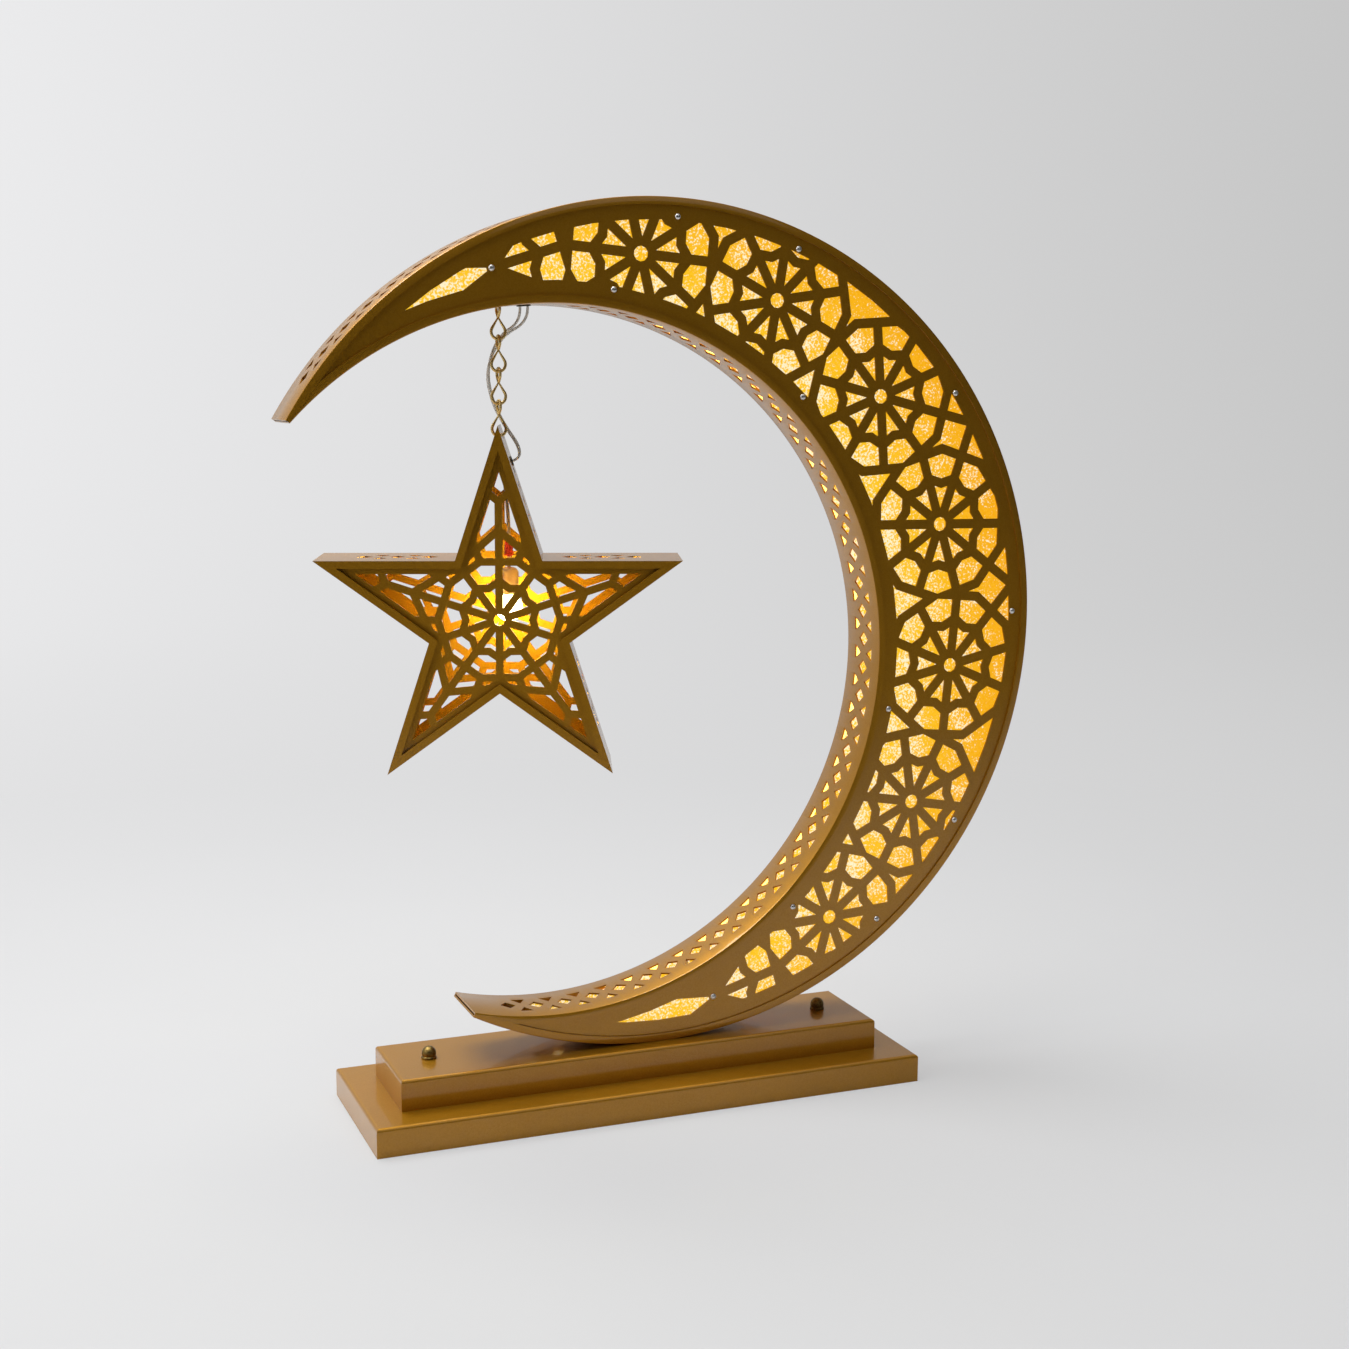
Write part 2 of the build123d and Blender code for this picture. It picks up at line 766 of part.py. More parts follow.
arm_names = ("top", "left", "lower_left", "lower_right", "right")
star_arms = [star_arm(star_step * k) for k in range(star_points)]

# Slot for the last chain link and hole for the cable in the top arm
wall_side = (star_radius - cable_hole_height) * tan(half_sector)
wall_normal = star_face.x_dir * cos(half_sector) + star_face.y_dir * sin(half_sector)
star_bush_plane = Plane(
    origin=star_point(wall_side, cable_hole_height, cable_hole_depth), z_dir=wall_normal
)
slot_low = chain_wire / 2 + hang_slot_below
slot_high = chain_wire / 2 + hang_slot_above
with BuildPart() as top_arm:
    add(star_arms[0].part)
    with BuildSketch(star_side):
        with Locations((0, star_radius - star_hang + (slot_high - slot_low) / 2)):
            Rectangle(hang_slot_length, slot_high + slot_low)
    extrude(amount=star_hang, both=True, mode=Mode.SUBTRACT)
    with BuildSketch(star_bush_plane):
        RegularPolygon(star_bush_radius - bush_lip + hole_play, bush_sides)
    extrude(amount=2 * star_sheet, both=True, mode=Mode.SUBTRACT)
star_arms[0] = top_arm

# Openings of the star plates: one rosette, and cells between straps in every arm
arm_strap = strap * star_pattern
star_notch = star_reach(star_border)[1]
fork_reach = star_radius - fork_place
with BuildSketch() as star_cuts:
    with PolarLocations(0, star_points):
        Polygon(*arm_outline(star_border), align=None)
    RegularPolygon(decagon_outside * star_pattern, 10, mode=Mode.SUBTRACT)
    with PolarLocations(0, star_points, 90):
        Rectangle(fork_place, arm_strap, align=(Align.MIN, Align.CENTER), mode=Mode.SUBTRACT)
        with Locations((chevron_place, 0)):
            with PolarLocations(0, 2, -chevron_angle, 2 * chevron_angle, endpoint=True):
                Rectangle(star_notch, arm_strap, align=(Align.MIN, Align.CENTER), mode=Mode.SUBTRACT)
        with Locations((fork_place, 0)):
            with PolarLocations(0, 2, -fork_angle, 2 * fork_angle, endpoint=True):
                Rectangle(fork_reach, arm_strap, align=(Align.MIN, Align.CENTER), mode=Mode.SUBTRACT)
    with PolarLocations(star_notch, 10):
        Rectangle(notch_strap, arm_strap, mode=Mode.SUBTRACT)

with BuildSketch() as star_rosette_cuts:
    rosette_openings(star_pattern)

star_openings = [
    face
    for cuts in (star_cuts, star_rosette_cuts)
    for face in cuts.sketch.faces()
    if face.area > smallest_opening * star_pattern**2
]

with BuildSketch() as star_plate_face:
    with PolarLocations(0, star_points):
        Polygon(*arm_outline(star_sheet + plate_play), align=None)
    add(star_openings, mode=Mode.SUBTRACT)


def star_plate(level):
    """Pierced plate inside the star, its front at a level before the star's middle."""
    with BuildPart() as plate:
        extrude(star_face.offset(level) * star_plate_face.sketch, amount=-star_sheet)
    return plate


star_front_plate = star_plate(star_depth / 2 - star_recess)
star_back_plate = star_plate(star_recess - star_depth / 2 + star_sheet)

# Bushes where the cable leaves the inner rim and enters the star
rim_bush_point = Vector(cable_rim_x, cable_rim_y, rim_under)
rim_bush_out = Vector(cable_rim_x - inner_centre[0], 0, rim_under - inner_centre[1]).normalized()
rim_bush_plane = Plane(
    origin=rim_bush_point - rim_bush_out * bush_stand_off, x_dir=(0, 1, 0), z_dir=rim_bush_out
)


def bush(plane, radius, length):
    """Rubber bush with a lip outside and a neck through the sheet."""
    with BuildPart() as plug:
        with BuildSketch(plane):
            RegularPolygon(radius, bush_sides)
        extrude(amount=-bush_lip)
        with BuildSketch(plane):
            RegularPolygon(radius - bush_lip, bush_sides)
        extrude(amount=length)
    return plug


rim_bush = bush(rim_bush_plane, bush_radius, 2 * rim_sheet)
star_bush_inward = Plane(
    origin=star_bush_plane.origin, x_dir=star_bush_plane.x_dir, z_dir=-wall_normal
)
star_bush = bush(star_bush_inward, star_bush_radius, 2 * star_sheet)

# Cable of two cores beside the chain, from bush to bush
rim_exit = rim_bush_plane.origin - rim_bush_out * bush_lip
star_entry = star_bush_plane.origin + wall_normal * bush_lip
star_back = star_face.z_dir * -1
cable_middle = [
    rim_exit,
    rim_exit - rim_bush_out * cable_rim_run,
    *[Vector(hang_x + side, back, chain_top - drop) for side, back, drop in cable_places],
    star_entry + wall_normal * cable_star_run,
    star_entry,
]
core_half = core_spacing / 2
core_offsets = [Vector(rim_bush_out.Z, 0, -rim_bush_out.X) * 2 * core_half] * 2
core_offsets += [Vector(core_half, core_twist * core_half, 0)]
core_offsets += [Vector(0, core_half, 0)] * 4
core_offsets += [star_back * core_half] * 2
core_routes = [
    [tuple(middle + offset * side) for middle, offset in zip(cable_middle, core_offsets)]
    for side in (-1, 1)
]
cable_cores = [cord(core_route, core_diameter) for core_route in core_routes]
with BuildPart() as star_cable:
    for core in cable_cores:
        add(core.part)

# Lamp inside the star: lead, connector, holder, bulb
holder_low = bulb_height + bulb_radius
connector_low = holder_low + holder_length + connector_gap
connector_high = connector_low + connector_length
lamp_axis = Plane(origin=star_point(bulb_side, 0, 0), z_dir=(0, 0, 1))
lead_start = star_bush_plane.origin - wall_normal * 2 * star_sheet
lead_top = star_point(bulb_side, connector_high, 0)
upper_lead = hidden_lead(
    [
        tuple(lead_start),
        tuple(lead_start - wall_normal * lamp_lead_run),
        tuple(lead_top + Vector(0, 0, connector_length)),
        tuple(lead_top),
    ],
    lead_diameter,
)
with BuildPart() as lamp_lead:
    add(upper_lead.part)
    with BuildSketch(lamp_axis.offset(connector_low)):
        RegularPolygon(lead_diameter / 2, wire_sides)
    extrude(amount=-connector_gap)

with BuildPart() as wire_connector:
    with BuildSketch(lamp_axis.offset(connector_low)):
        Rectangle(connector_width, connector_width)
    extrude(amount=connector_length)

with BuildPart() as lamp_holder:
    with BuildSketch(lamp_axis.offset(holder_low)):
        RegularPolygon(holder_radius, bush_sides)
    extrude(amount=holder_length)

with BuildPart() as lamp_bulb:
    with BuildSketch(lamp_axis.offset(bulb_height - bulb_radius)):
        RegularPolygon(bulb_radius, bush_sides)
    extrude(amount=2 * bulb_radius)
    bulb_ends = lamp_bulb.edges().group_by(Axis.Z)
    chamfer(bulb_ends[0] + bulb_ends[-1], bulb_chamfer)

nodes = {
    "lower_plinth": lower_plinth,
    "upper_plinth": upper_plinth,
    "base_cover": base_cover,
    "cover_screws": cover_screws,
    "finials": finials,
    "finial_nuts": finial_nuts,
    "seat_bolts": seat_bolts,
    "seat_nuts": seat_nuts,
    "led_driver": led_driver,
    "strip_lead": strip_lead,
    "inlet_grommet": inlet_grommet,
    "outer_rim": outer_rim,
    "inner_rim": inner_rim,
    "front_plate": front_plate,
    "back_plate": back_plate,
    "front_diffuser": front_diffuser,
    "back_diffuser": back_diffuser,
    "front_rivets": front_rivets,
    "led_strip": led_strip,
    "rim_bush": rim_bush,
    "star_front_plate": star_front_plate,
    "star_back_plate": star_back_plate,
    "star_bush": star_bush,
    "star_cable": star_cable,
    "lamp_lead": lamp_lead,
    "wire_connector": wire_connector,
    "lamp_holder": lamp_holder,
    "lamp_bulb": lamp_bulb,
}
for number, link in enumerate(chain_links, 1):
    nodes[f"chain_link_{number}"] = link
for arm_name, arm in zip(arm_names, star_arms):
    nodes[f"star_arm_{arm_name}"] = arm

os.makedirs("parts", exist_ok=True)
for node_name, node in nodes.items():
    node.part.label = node_name
    export_step(node.part, f"parts/{node_name}.step")

core_section = core_sides * (core_diameter / 2) ** 2 * sin(radians(360 / core_sides)) / 2
for core_route, core in zip(core_routes, cable_cores):
    print("star cable bend radii", [round(radius, 1) for radius in bend_radii(core_route)])
    print("star cable core length by volume", round(core.part.volume / core_section, 1))
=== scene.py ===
import json
from math import asin, cos, pi, radians, sin, sqrt

import bmesh
import bpy
from mathutils import Matrix, Quaternion, Vector
from mathutils.geometry import delaunay_2d_cdt


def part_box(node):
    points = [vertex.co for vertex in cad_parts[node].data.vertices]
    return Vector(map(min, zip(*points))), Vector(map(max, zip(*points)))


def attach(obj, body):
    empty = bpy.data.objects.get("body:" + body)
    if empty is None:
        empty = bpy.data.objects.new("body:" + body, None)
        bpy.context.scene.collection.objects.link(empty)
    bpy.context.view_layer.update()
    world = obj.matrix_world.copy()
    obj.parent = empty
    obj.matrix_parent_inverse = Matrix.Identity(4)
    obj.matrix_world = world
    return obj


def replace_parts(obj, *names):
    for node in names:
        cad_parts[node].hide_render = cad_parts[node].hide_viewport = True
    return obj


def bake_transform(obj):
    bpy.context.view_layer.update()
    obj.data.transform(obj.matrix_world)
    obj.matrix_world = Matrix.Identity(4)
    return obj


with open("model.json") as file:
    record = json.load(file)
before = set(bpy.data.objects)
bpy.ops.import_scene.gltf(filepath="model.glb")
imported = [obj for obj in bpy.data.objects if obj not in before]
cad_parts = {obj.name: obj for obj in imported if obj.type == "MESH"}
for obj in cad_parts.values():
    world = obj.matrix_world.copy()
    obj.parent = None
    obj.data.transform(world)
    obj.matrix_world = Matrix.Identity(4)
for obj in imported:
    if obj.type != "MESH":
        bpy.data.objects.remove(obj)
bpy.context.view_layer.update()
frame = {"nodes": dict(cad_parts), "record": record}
nodes = frame["nodes"]

# Crescent, in metres: two circles in the upright plane, and the sheet bent round them
outer_centre = Vector((0.015, 0, 0.4))
outer_radius = 0.35
inner_radius = 0.29
circle_offset = 0.091
crescent_lean = radians(16.25)
face_depth = 0.03
rim_sheet = 0.0015
rim_flange = 0.0065
fold_radius = 0.0009
fold_rise = 0.7
fold_reach = 0.3
least_flange = 1.5 * fold_radius
flange_steps = 26
horn_cut = 0.019
plate_step = 0.0558
inner_centre = outer_centre - circle_offset * Vector((cos(crescent_lean), 0, sin(crescent_lean)))

# Lattice cut in both rims and in the star's walls
lattice_pitch = 0.025
diamond_length = 0.0068
diamond_width = 0.0078
wedge_length = 0.006
wedge_point = 0.0052
wedge_base = 0.0152
slices_per_cell = 4

# Stretches of the rims left plain: beside the seat, and where the chain and cable hang
seat_reach = 0.075
hanger_left = -0.135
hanger_right = -0.072

# Rivets and finials: heights and radii of the turned forms
rivet_profile = [(0.0, 0.0026), (0.0004, 0.00258), (0.001, 0.0022), (0.0015, 0.0014), (0.0018, 0.0004)]
finial_flange = [(0.0, 0.0061), (0.0003, 0.0063), (0.0013, 0.0063), (0.0018, 0.0059), (0.0022, 0.0054)]
finial_place = 0.178
dome_middle = 0.0044
dome_reach = 0.006
dome_rise = 0.0058

# Chain and star
hang_x = -0.113
chain_wire = 0.0024
link_length = 0.0282
link_waist = 0.0113
upper_loop = 0.0046
lower_loop = 0.0058
link_count = 4
star_radius = 0.1532
star_depth = 0.076
star_yaw = radians(-18.5)
star_sheet = 0.0012
star_flange = 0.006
star_hang = 0.009
star_half_angle = radians(18)
star_lattice_pitch = 0.026
star_lattice_shift = 0.008
arm_names = ("top", "left", "lower_left", "lower_right", "right")

# Slot in the top arm for the last link: reach below and above the hanging point, and half its width
slot_below = 0.0017
slot_above = 0.0025
slot_half = 0.0055

# Cable route, as the solid's: middle points, and half the spacing of the two cores
cable_route = [
    (-0.090431, 0.004, 0.662869),
    (-0.089681, 0.004, 0.650892),
    (-0.109, 0.010, 0.639039),
    (-0.1215, 0.006, 0.613039),
    (-0.116, 0.010, 0.588039),
    (-0.105, 0.0105, 0.568039),
    (-0.095, 0.006, 0.553039),
    (-0.09438, 0.003261, 0.542257),
    (-0.100244, 0.005222, 0.540248),
]
core_offsets = [(0.003194, 0, 0.0002)] * 2
core_offsets += [(0.0016, 0.00096, 0)]
core_offsets += [(0, 0.0016, 0)] * 4
core_offsets += [(0.000508, 0.001517, 0)] * 2
core_diameter = 0.0022
core_sides = 12

# First and last stretch of a core
first_stretch = 0.0315
star_stretch = 0.046

# Lamp in the star
holder_radius = 0.0078
connector_share = 0.26
connector_ribs = 5
rib_pitch = 0.002

# Floor that rises into a backdrop
floor_reach = 3.2
sweep_radius = 1.6
wall_height = 5.5
floor_drop = 0.0002
floor_sides = 96

# Camera that took the photograph
camera_azimuth = radians(-21.858)
camera_elevation = radians(8.521)
camera_roll = radians(0.266)
camera_distance = 1.6348
camera_target = Vector((0.039222, 0, 0.359349))
focal_pixels = 1935.3
photo_pixels = 1349


def set_camera():
    data = bpy.data.cameras.new("photo_camera")
    data.sensor_width = 36
    data.lens = data.sensor_width * focal_pixels / photo_pixels
    camera = bpy.data.objects.new("photo_camera", data)
    bpy.context.scene.collection.objects.link(camera)
    flat = cos(camera_elevation)
    back = Vector((sin(camera_azimuth) * flat, -cos(camera_azimuth) * flat, sin(camera_elevation)))
    camera.location = camera_target + back * camera_distance
    camera.rotation_mode = "QUATERNION"
    camera.rotation_quaternion = (-back).to_track_quat("-Z", "Y") @ Quaternion((0, 0, 1), camera_roll)
    bpy.context.scene.camera = camera


set_camera()


# Mesh helpers
def smooth(mesh, angle=35):
    mesh.shade_smooth()
    mesh.set_sharp_from_angle(angle=radians(angle))


def new_piece(name, points, faces, body, slot, angle=35):
    """Mesh piece in place, riding on a body, with its finish."""
    mesh = bpy.data.meshes.new(name)
    mesh.from_pydata([tuple(p) for p in points], [], faces)
    shape = bmesh.new()
    shape.from_mesh(mesh)
    bmesh.ops.remove_doubles(shape, verts=shape.verts, dist=1e-6)
    shape.to_mesh(mesh)
    shape.free()
    smooth(mesh, angle)
    mesh.materials.append(finish[slot])
    piece = bpy.data.objects.new(name, mesh)
    bpy.context.scene.collection.objects.link(piece)
    if body:
        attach(piece, body)
    return piece


def welded(points, faces):
    """The same points and faces, with doubles merged and the faces turned one way."""
    mesh = bpy.data.meshes.new("draft")
    mesh.from_pydata([tuple(p) for p in points], [], faces)
    shape = bmesh.new()
    shape.from_mesh(mesh)
    bmesh.ops.remove_doubles(shape, verts=shape.verts, dist=2e-6)
    bmesh.ops.recalc_face_normals(shape, faces=shape.faces)
    shape.verts.index_update()
    clean = [v.co.copy() for v in shape.verts]
    clean_faces = [tuple(v.index for v in face.verts) for face in shape.faces]
    shape.free()
    bpy.data.meshes.remove(mesh)
    return clean, clean_faces


def ring_faces(rings, sides, closed=False):
    """Faces from each ring of points to the next, and from the last to the first if closed."""
    faces = []
    for ring in range(rings if closed else rings - 1):
        here = ring * sides
        there = (ring + 1) % rings * sides
        for k in range(sides):
            after = (k + 1) % sides
            faces.append((here + k, here + after, there + after, there + k))
    return faces


def end_faces(rings, sides):
    """Faces that close the first and the last ring."""
    return [tuple(reversed(range(sides))), tuple(range((rings - 1) * sides, rings * sides))]


def turned(profile, foot, axis, sides=32):
    """Points and faces of a turned piece: heights and radii along an axis from its foot."""
    turn = Vector((0, 0, 1)).rotation_difference(Vector(axis))
    points = []
    for height, radius in profile:
        for k in range(sides):
            angle = 2 * pi * k / sides
            place = Vector((radius * cos(angle), radius * sin(angle), height))
            points.append(Vector(foot) + turn @ place)
    rings = len(profile)
    return points, ring_faces(rings, sides) + end_faces(rings, sides)


def tube(path, radius, sides=12, closed=False):
    """Points and faces of a round tube that follows a list of points without twisting."""
    count = len(path)
    points = []
    side = None
    for k, place in enumerate(path):
        before = path[(k - 1) % count] if closed or k else path[k]
        after = path[(k + 1) % count] if closed or k < count - 1 else path[k]
        along = (after - before).normalized()
        if side is None:
            side = along.orthogonal().normalized()
        side = (side - along * side.dot(along)).normalized()
        other = along.cross(side)
        for step in range(sides):
            angle = 2 * pi * step / sides
            points.append(place + (side * cos(angle) + other * sin(angle)) * radius)
    faces = ring_faces(count, sides, closed)
    if not closed:
        faces += end_faces(count, sides)
    return points, faces


def joined(*shapes):
    """Several sets of points and faces as one."""
    points = []
    faces = []
    for some_points, some_faces in shapes:
        start = len(points)
        points += some_points
        faces += [tuple(start + k for k in face) for face in some_faces]
    return points, faces


def inside(place, loop):
    """Whether a flat place lies in a closed loop of points."""
    crossings = 0
    for (ax, ay), (bx, by) in zip(loop, loop[1:] + loop[:1]):
        if (ay > place[1]) != (by > place[1]):
            if place[0] < ax + (place[1] - ay) * (bx - ax) / (by - ay):
                crossings += 1
    return crossings % 2 == 1


def pierced_sheet(outline, openings, slices=()):
    """Flat points and triangles of a convex sheet with openings, cut along slice lines."""
    points = []
    edges = []
    for loop in [outline, *openings]:
        start = len(points)
        points += [Vector(p) for p in loop]
        edges += [(start + k, start + (k + 1) % len(loop)) for k in range(len(loop))]
    for first, last in slices:
        edges.append((len(points), len(points) + 1))
        points += [Vector(first), Vector(last)]
    found, _, triangles, *_ = delaunay_2d_cdt(points, edges, [], 0, 1e-7)
    kept = []
    for triangle in triangles:
        centre = sum((found[k] for k in triangle), Vector((0, 0))) / 3
        if not any(inside(centre, loop) for loop in openings):
            kept.append(tuple(triangle))
    return found, kept


def lattice_openings(middle, pitch, first=False, last=False):
    """Diamond in the middle of a cell, and the half wedges at its two ends on both sides."""
    openings = [
        [
            (middle - diamond_length, 0),
            (middle, -diamond_width),
            (middle + diamond_length, 0),
            (middle, diamond_width),
        ]
    ]
    for way, left_out in ((-1, first), (1, last)):
        if left_out:
            continue
        end = middle + way * pitch / 2
        for side in (-1, 1):
            openings.append(
                [
                    (end, side * wedge_point),
                    (end - way * wedge_length, side * wedge_base),
                    (end, side * wedge_base),
                ]
            )
    return openings


def thicken(piece, thickness, outward):
    """Give a sheet its thickness behind the skin, whose first face is turned the right way."""
    mesh = piece.data
    face = mesh.polygons[0]
    if face.normal.dot(outward(face.center)) < 0:
        mesh.flip_normals()
    solid = piece.modifiers.new("sheet", "SOLIDIFY")
    solid.thickness = thickness
    solid.offset = -1
    solid.use_even_offset = True
    thick = bpy.data.meshes.new_from_object(piece.evaluated_get(bpy.context.evaluated_depsgraph_get()))
    piece.modifiers.clear()
    piece.data = thick
    bpy.data.meshes.remove(mesh)
    smooth(thick)


def separate_centres(node):
    """Middle of each separate solid in a group node."""
    shape = bmesh.new()
    shape.from_mesh(nodes[node].data)
    bmesh.ops.remove_doubles(shape, verts=shape.verts, dist=1e-6)
    waiting = set(shape.verts)
    centres = []
    while waiting:
        front = [waiting.pop()]
        group = []
        while front:
            corner = front.pop()
            group.append(corner.co.copy())
            for edge in corner.link_edges:
                other = edge.other_vert(corner)
                if other in waiting:
                    waiting.remove(other)
                    front.append(other)
        centres.append(sum(group, Vector()) / len(group))
    shape.free()
    return centres


# Node helpers
def new_group(name, inputs, outputs):
    tree = bpy.data.node_groups.new(name, "ShaderNodeTree")
    for socket, kind, value in inputs:
        made = tree.interface.new_socket(socket, in_out="INPUT", socket_type=kind)
        made.default_value = value
    for socket, kind in outputs:
        tree.interface.new_socket(socket, in_out="OUTPUT", socket_type=kind)
    return tree, tree.nodes.new("NodeGroupInput"), tree.nodes.new("NodeGroupOutput")


def feed(tree, socket, value):
    """Set an input to a value, or link it where the value is another node's output."""
    if isinstance(value, bpy.types.NodeSocket):
        tree.links.new(value, socket)
    else:
        socket.default_value = value


def put(tree, kind, **values):
    """Add a node and feed the inputs that are named."""
    node = tree.nodes.new(kind)
    for name, value in values.items():
        feed(tree, node.inputs[name], value)
    return node


def combined(tree, operation, first, second):
    """Result of a sum, product or larger of two values."""
    node = tree.nodes.new("ShaderNodeMath")
    node.operation = operation
    feed(tree, node.inputs[0], first)
    feed(tree, node.inputs[1], second)
    return node.outputs[0]


def ranged(tree, value, low, high, new_low, new_high):
    node = put(tree, "ShaderNodeMapRange", Value=value)
    node.inputs["From Min"].default_value = low
    node.inputs["From Max"].default_value = high
    node.inputs["To Min"].default_value = new_low
    node.inputs["To Max"].default_value = new_high
    return node.outputs["Result"]


def mixed(tree, share, first, second, blend="MIX"):
    node = tree.nodes.new("ShaderNodeMix")
    node.data_type = "RGBA"
    node.blend_type = blend
    feed(tree, node.inputs[0], share)
    feed(tree, node.inputs[6], first)
    feed(tree, node.inputs[7], second)
    return node.outputs[2]


def make_surface_grain():
    """Fine grain and soft smudges of a coated or cast surface."""
    tree, given, out = new_group(
        "surface_grain",
        [
            ("Colour", "NodeSocketColor", (0.5, 0.5, 0.5, 1)),
            ("Grain Scale", "NodeSocketFloat", 600.0),
            ("Grain Depth", "NodeSocketFloat", 0.25),
            ("Smudge Depth", "NodeSocketFloat", 0.2),
            ("Roughness", "NodeSocketFloat", 0.35),
        ],
        [
            ("Colour", "NodeSocketColor"),
            ("Roughness", "NodeSocketFloat"),
            ("Height", "NodeSocketFloat"),
        ],
    )
    place = tree.nodes.new("ShaderNodeTexCoord").outputs["Object"]
    grain_scale = given.outputs["Grain Scale"]
    grain = put(tree, "ShaderNodeTexNoise", Vector=place, Scale=grain_scale, Detail=3.0)
    smudge = put(tree, "ShaderNodeTexNoise", Vector=place, Scale=9.0, Detail=4.0, Roughness=0.6)
    grain_share = ranged(tree, grain.outputs["Fac"], 0.3, 0.7, 0.0, 1.0)
    dark = mixed(tree, given.outputs["Grain Depth"], given.outputs["Colour"], (0, 0, 0, 1))
    warm = (0.8, 0.6, 0.14, 1)
    light = mixed(tree, given.outputs["Grain Depth"], given.outputs["Colour"], warm, "SCREEN")
    speckled = mixed(tree, grain_share, dark, light)
    worn = ranged(tree, smudge.outputs["Fac"], 0.35, 0.7, 0.0, 1.0)
    shade = combined(tree, "MULTIPLY", worn, given.outputs["Smudge Depth"])
    toned = mixed(tree, shade, speckled, mixed(tree, 0.5, speckled, (0, 0, 0, 1)))
    rough = combined(tree, "ADD", shade, given.outputs["Roughness"])
    tree.links.new(toned, out.inputs["Colour"])
    tree.links.new(rough, out.inputs["Roughness"])
    tree.links.new(grain.outputs["Fac"], out.inputs["Height"])
    return tree


surface_grain = make_surface_grain()


def grained(name, colour, roughness, metallic=0.0, scale=600.0, grain=0.2, smudge=0.15, bump=0.1):
    """Material of one colour with grain, smudges and a little relief."""
    material = bpy.data.materials.new(name)
    material.use_nodes = True
    tree = material.node_tree
    shader = tree.nodes["Principled BSDF"]
    shader.inputs["Metallic"].default_value = metallic
    group = tree.nodes.new("ShaderNodeGroup")
    group.node_tree = surface_grain
    group.inputs["Colour"].default_value = (*colour, 1)
    group.inputs["Grain Scale"].default_value = scale
    group.inputs["Grain Depth"].default_value = grain
    group.inputs["Smudge Depth"].default_value = smudge
    group.inputs["Roughness"].default_value = roughness
    tree.links.new(group.outputs["Colour"], shader.inputs["Base Color"])
    tree.links.new(group.outputs["Roughness"], shader.inputs["Roughness"])
    relief = put(tree, "ShaderNodeBump", Height=group.outputs["Height"], Strength=bump)
    relief.inputs["Distance"].default_value = 0.0003
    tree.links.new(relief.outputs["Normal"], shader.inputs["Normal"])
    return material, tree, shader


def gold_paint():
    """Bronze-gold lacquer: a warm flat colour under a glossy clear coat."""
    bronze = (0.42, 0.184, 0.003)
    material, _, shader = grained("gold_paint", bronze, 0.4, 0.65, 900.0, 0.06, 0.06, 0.03)
    shader.inputs["Specular IOR Level"].default_value = 0.2
    shader.inputs["Coat Weight"].default_value = 0.75
    shader.inputs["Coat Roughness"].default_value = 0.08
    return material


def flecked_diffuser():
    """Amber sheet with pale flecks, with the light of the strip on the inner rim painted into its
    glow, so paler towards it.
    """
    unlit = (0.2, 0.08, 0.005)
    painted_glow_reach = 0.13
    material, tree, shader = grained("flecked_diffuser", unlit, 0.5, 0.0, 500.0, 0.2, 0.1, 0.1)
    shader.inputs["Specular IOR Level"].default_value = 0.15
    place = tree.nodes.new("ShaderNodeTexCoord").outputs["Object"]
    parts = put(tree, "ShaderNodeSeparateXYZ", Vector=place)
    flat = put(tree, "ShaderNodeCombineXYZ", X=parts.outputs["X"], Z=parts.outputs["Z"])
    reach = tree.nodes.new("ShaderNodeVectorMath")
    reach.operation = "DISTANCE"
    tree.links.new(flat.outputs[0], reach.inputs[0])
    reach.inputs[1].default_value = inner_centre
    painted_glow_end = inner_radius + painted_glow_reach
    # Painted light: the glow fades from pale yellow at the inner rim to deeper amber further out, and
    # its pale flecks thin out the same way
    painted_glow_fade = ranged(tree, reach.outputs["Value"], inner_radius, painted_glow_end, 0.0, 1.0)
    painted_glow_amber = mixed(tree, painted_glow_fade, (1.0, 0.6, 0.012, 1), (0.9, 0.4, 0.002, 1))
    fleck = put(tree, "ShaderNodeTexNoise", Vector=place, Scale=560.0, Detail=2.0, Roughness=0.6)
    patch = put(tree, "ShaderNodeTexNoise", Vector=place, Scale=38.0, Detail=2.0)
    shift = ranged(tree, patch.outputs["Fac"], 0.3, 0.7, -0.09, 0.09)
    dim = ranged(tree, painted_glow_fade, 0.0, 1.0, 0.06, -0.08)
    level = combined(tree, "ADD", fleck.outputs["Fac"], shift)
    raised = combined(tree, "ADD", level, dim)
    pale = ranged(tree, raised, 0.51, 0.63, 0.0, 1.0)
    colour = mixed(tree, pale, painted_glow_amber, (1.0, 0.9, 0.62, 1))
    tree.links.new(colour, shader.inputs["Emission Color"])
    shader.inputs["Emission Strength"].default_value = 0.95
    return material


def lit(name, colour, strength, roughness):
    material, _, shader = grained(name, colour, roughness, 0.0, 400.0, 0.1, 0.05, 0.03)
    shader.inputs["Emission Color"].default_value = (*colour, 1)
    shader.inputs["Emission Strength"].default_value = strength
    return material


def clear_cable():
    material, _, shader = grained("clear_cable", (0.88, 0.86, 0.81), 0.3, 0.0, 300.0, 0.05, 0.04, 0.03)
    shader.inputs["Transmission Weight"].default_value = 0.3
    shader.inputs["IOR"].default_value = 1.25
    return material


